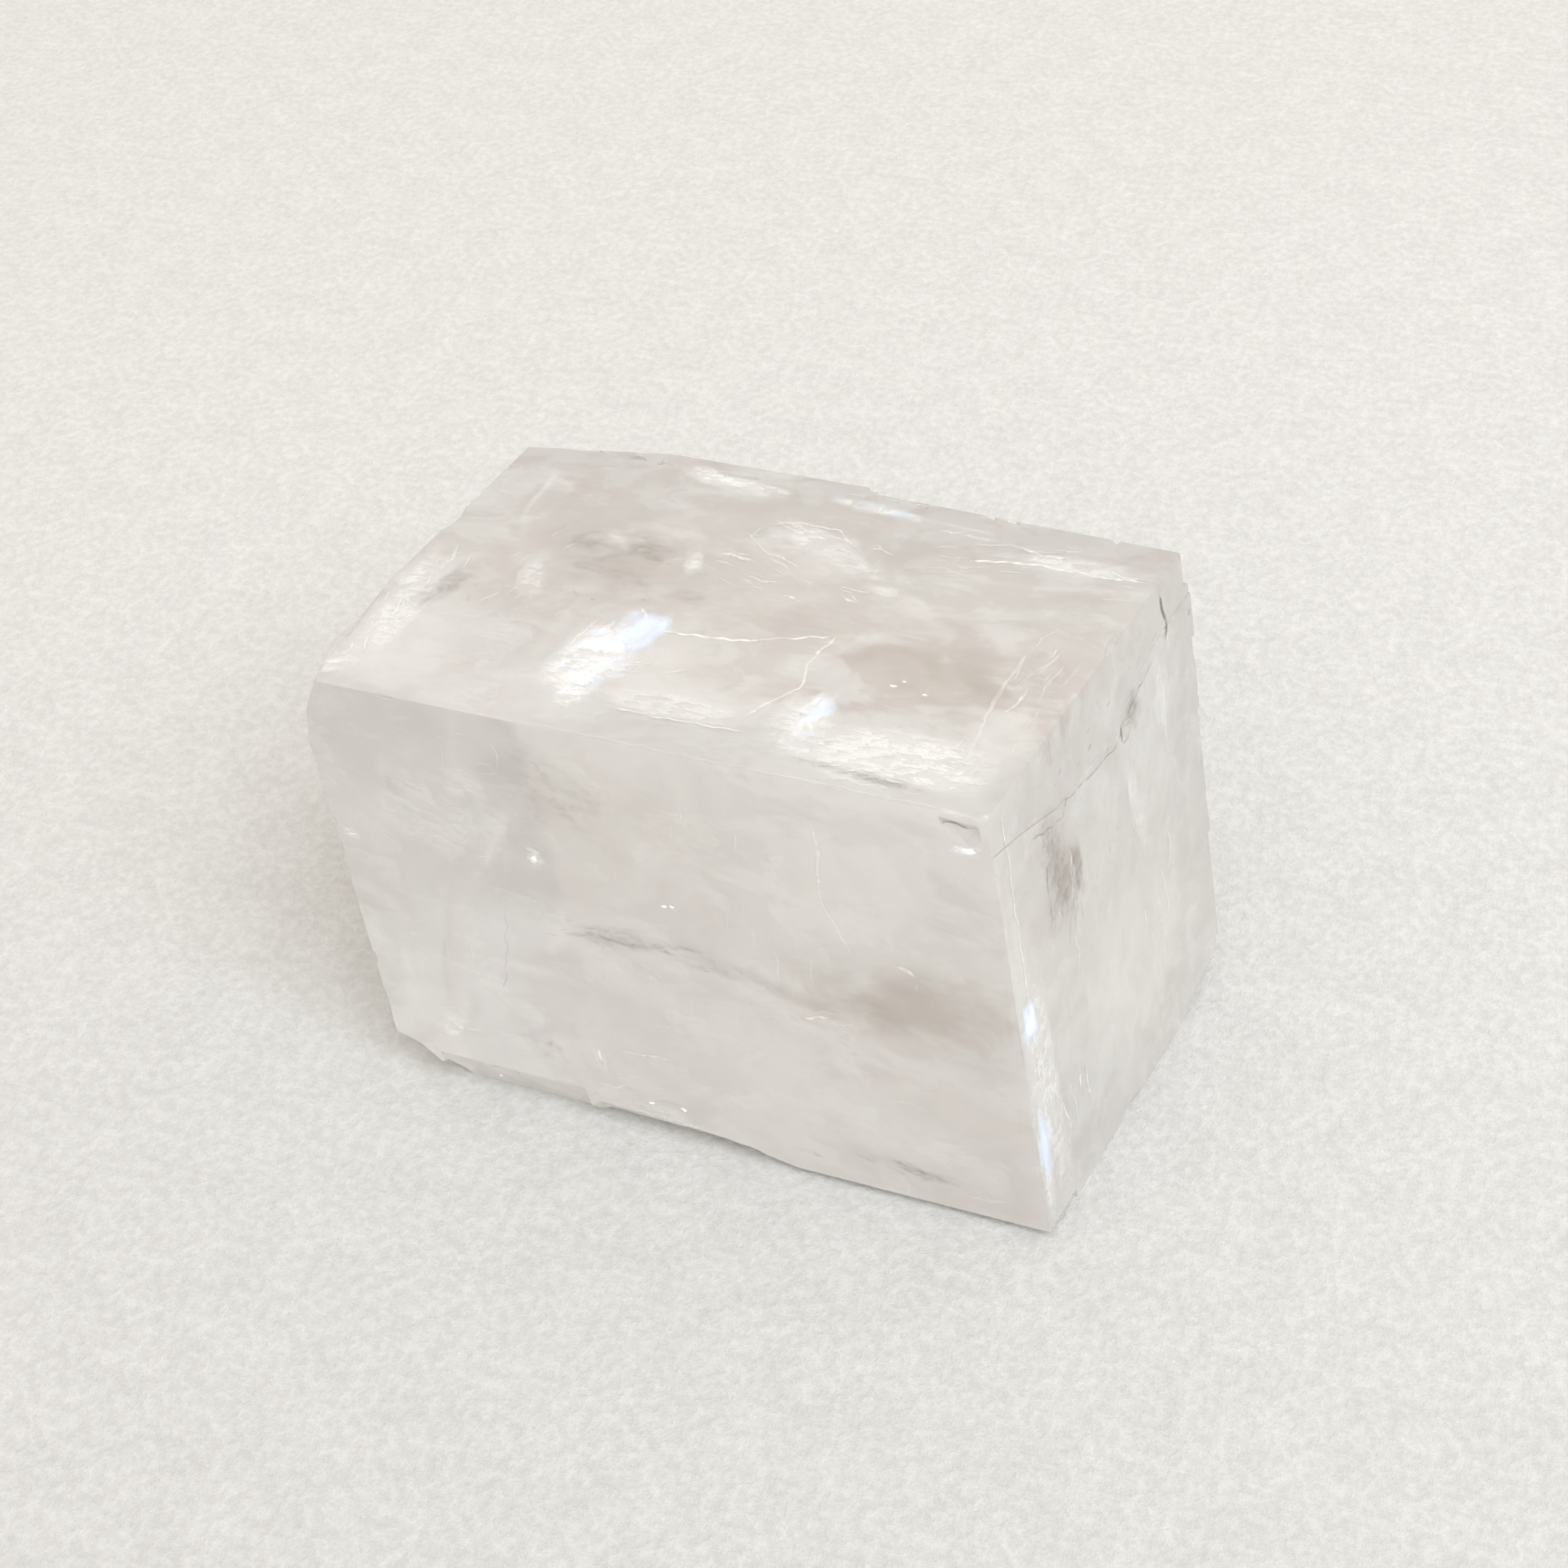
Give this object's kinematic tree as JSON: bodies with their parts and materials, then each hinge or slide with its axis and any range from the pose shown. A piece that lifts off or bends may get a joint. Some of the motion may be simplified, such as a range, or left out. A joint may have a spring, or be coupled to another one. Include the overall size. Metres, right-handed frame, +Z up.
{
  "type": "calcite crystal",
  "caption": "Clear calcite cleavage rhomb with stepped faces and chipped corners, lying on one flat face.",
  "frame": {"origin": "centre of the bounding box's base, on the surface that the crystal lies on", "axes": "+X along the long edge, +Z up from the face it rests on, -Y towards the larger front face"},
  "size_m": [0.0614, 0.0382, 0.0319],
  "materials": {
    "calcite": "clear to slightly milky cleaved mineral, faint warm grey cast, glassy faces"
  },
  "bodies": {
    "root": {"calcite_crystal": "calcite"}
  },
  "joints": []
}
